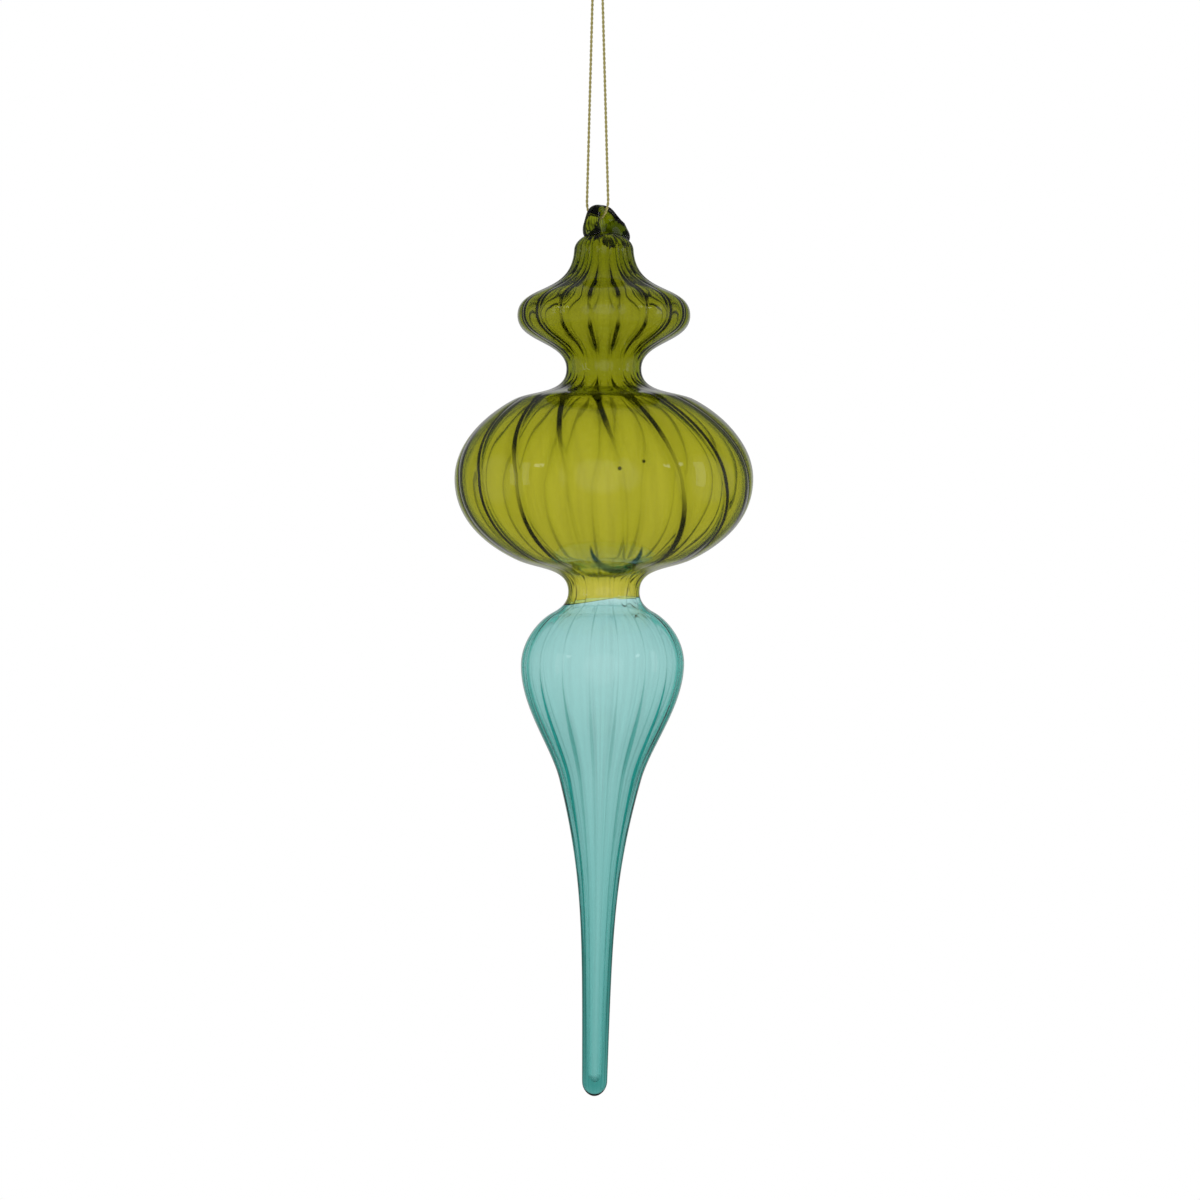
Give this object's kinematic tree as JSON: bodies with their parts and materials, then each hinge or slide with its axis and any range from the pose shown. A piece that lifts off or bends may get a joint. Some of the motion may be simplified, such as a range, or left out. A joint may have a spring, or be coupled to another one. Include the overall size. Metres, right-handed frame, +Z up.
{
  "type": "glass finial ornament",
  "caption": "Hanging blown-glass finial: fluted olive green bulbs over an aqua drop drawn out to a long stem, hung by a trailed glass hook from a doubled metallic cord.",
  "frame": {"origin": "the inside top of the loop of cord, where it goes over its hook or branch, just under the knot", "axes": "+Z up along the hanging glass; -Y towards the viewer of the picture, where the flutes of the main bulb run down to the right; +X to that viewer's right"},
  "size_m": [0.0846, 0.0848, 0.3388],
  "materials": {
    "green_glass": "clear olive green blown glass, fire polished, fluted",
    "aqua_glass": "clear pale aqua blown glass, fire polished, finely fluted",
    "hook_glass": "solid olive green glass trail, fire polished",
    "metallic_thread": "twisted pale gold metallic thread"
  },
  "bodies": {
    "knot": {"cord_knot": "metallic_thread"},
    "loop": {"hanging_cord": "metallic_thread"},
    "glass": {"glass_hook": "hook_glass", "green_glass_body": "green_glass", "aqua_glass_drop": "aqua_glass"}
  },
  "joints": [
    {"name": "loop_turn", "type": "hinge", "parent": "knot", "child": "loop", "pos_m": [0, 0, 0], "axis": [0, 0, 1], "range_deg": [-180, 180]},
    {"name": "finial_swing", "type": "hinge", "parent": "loop", "child": "glass", "pos_m": [0, 0, -0.0742], "axis": [0.766, -0.6428, 0], "range_deg": [-110, 80]}
  ]
}
